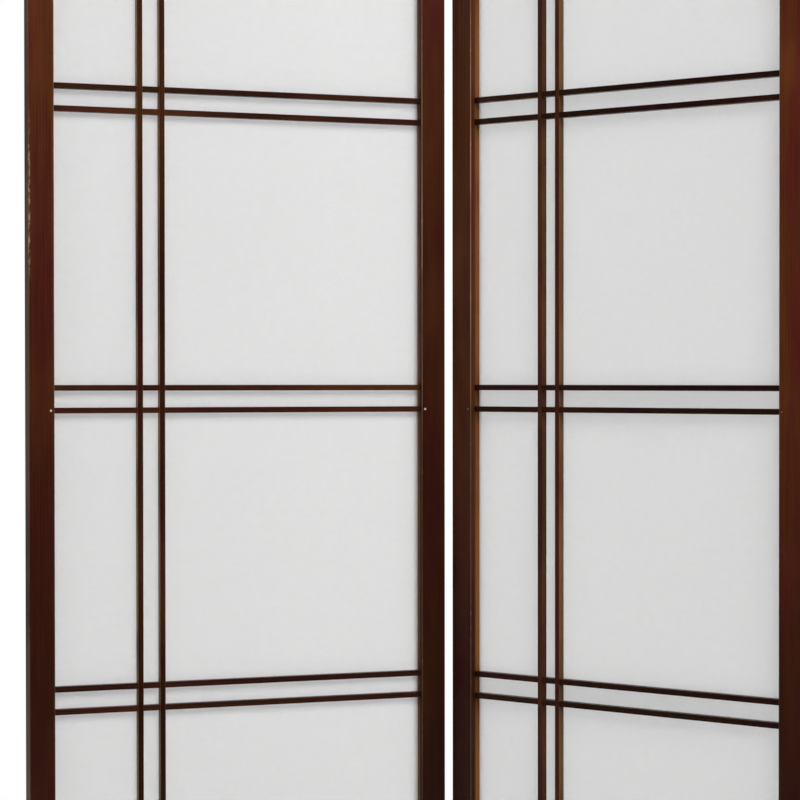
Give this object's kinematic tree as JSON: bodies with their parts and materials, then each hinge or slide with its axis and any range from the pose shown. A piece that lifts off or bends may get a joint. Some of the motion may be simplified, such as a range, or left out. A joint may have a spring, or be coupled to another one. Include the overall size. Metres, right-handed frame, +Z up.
{
  "type": "folding room divider screen",
  "caption": "Free-standing folding screen: slim dark wooden frames with paired lattice bars over white paper, joined by two-way hinges that fold to the front or the back.",
  "frame": {"origin": "on the floor, at the middle of the middle panel, which is also the middle of the whole screen", "axes": "+Z up; the screen runs along X and the lattice side faces -Y. It stands at rest in a zigzag, with 61 degrees of fold at each hinge line"},
  "size_m": [1.1418, 0.245, 1.828],
  "materials": {
    "frame_wood": "satin",
    "lattice_wood": "satin",
    "bead_wood": "satin",
    "paper": "matte",
    "hinge_brass": "satin",
    "pin_brass": "satin",
    "screw_brass": "satin",
    "brad_steel": "satin"
  },
  "bodies": {
    "middle_panel": {"middle_panel_left_stile": "frame_wood", "middle_panel_right_stile": "frame_wood", "middle_panel_top_rail": "frame_wood", "middle_panel_bottom_rail": "frame_wood", "middle_panel_upright_1": "lattice_wood", "middle_panel_upright_2": "lattice_wood", "middle_panel_crossbars_1": "lattice_wood", "middle_panel_crossbars_2": "lattice_wood", "middle_panel_crossbars_3": "lattice_wood", "middle_panel_crossbars_4": "lattice_wood", "middle_panel_crossbars_5": "lattice_wood", "middle_panel_beads": "bead_wood", "middle_panel_paper": "paper", "middle_panel_brads": "brad_steel", "left_hinge_upper_back_leaf": "hinge_brass", "left_hinge_lower_back_leaf": "hinge_brass", "left_hinge_back_screws": "screw_brass", "right_hinge_upper_front_leaf": "hinge_brass", "right_hinge_lower_front_leaf": "hinge_brass", "right_hinge_front_screws": "screw_brass"},
    "left_hinge_links": {"left_hinge_upper_link": "hinge_brass", "left_hinge_lower_link": "hinge_brass", "left_hinge_pins": "pin_brass"},
    "left_panel": {"left_panel_left_stile": "frame_wood", "left_panel_right_stile": "frame_wood", "left_panel_top_rail": "frame_wood", "left_panel_bottom_rail": "frame_wood", "left_panel_upright_1": "lattice_wood", "left_panel_upright_2": "lattice_wood", "left_panel_crossbars_1": "lattice_wood", "left_panel_crossbars_2": "lattice_wood", "left_panel_crossbars_3": "lattice_wood", "left_panel_crossbars_4": "lattice_wood", "left_panel_crossbars_5": "lattice_wood", "left_panel_beads": "bead_wood", "left_panel_paper": "paper", "left_panel_brads": "brad_steel", "left_hinge_upper_front_leaf": "hinge_brass", "left_hinge_lower_front_leaf": "hinge_brass", "left_hinge_front_screws": "screw_brass"},
    "right_hinge_links": {"right_hinge_upper_link": "hinge_brass", "right_hinge_lower_link": "hinge_brass", "right_hinge_pins": "pin_brass"},
    "right_panel": {"right_panel_left_stile": "frame_wood", "right_panel_right_stile": "frame_wood", "right_panel_top_rail": "frame_wood", "right_panel_bottom_rail": "frame_wood", "right_panel_upright_1": "lattice_wood", "right_panel_upright_2": "lattice_wood", "right_panel_crossbars_1": "lattice_wood", "right_panel_crossbars_2": "lattice_wood", "right_panel_crossbars_3": "lattice_wood", "right_panel_crossbars_4": "lattice_wood", "right_panel_crossbars_5": "lattice_wood", "right_panel_beads": "bead_wood", "right_panel_paper": "paper", "right_panel_brads": "brad_steel", "right_hinge_upper_back_leaf": "hinge_brass", "right_hinge_lower_back_leaf": "hinge_brass", "right_hinge_back_screws": "screw_brass"}
  },
  "joints": [
    {"name": "left_back_pin", "type": "hinge", "parent": "middle_panel", "child": "left_hinge_links", "pos_m": [-0.18004, 0.11934, 0.93925], "axis": [0, 0, -1], "range_deg": [0, 90]},
    {"name": "left_front_pin", "type": "hinge", "parent": "left_hinge_links", "child": "left_panel", "pos_m": [-0.19167, 0.09961, 0.93925], "axis": [0, 0, 1], "range_deg": [-61, 119]},
    {"name": "right_front_pin", "type": "hinge", "parent": "middle_panel", "child": "right_hinge_links", "pos_m": [0.18004, -0.11934, 0.93925], "axis": [0, 0, -1], "range_deg": [0, 90]},
    {"name": "right_back_pin", "type": "hinge", "parent": "right_hinge_links", "child": "right_panel", "pos_m": [0.19167, -0.09961, 0.93925], "axis": [0, 0, 1], "range_deg": [-61, 119]}
  ]
}
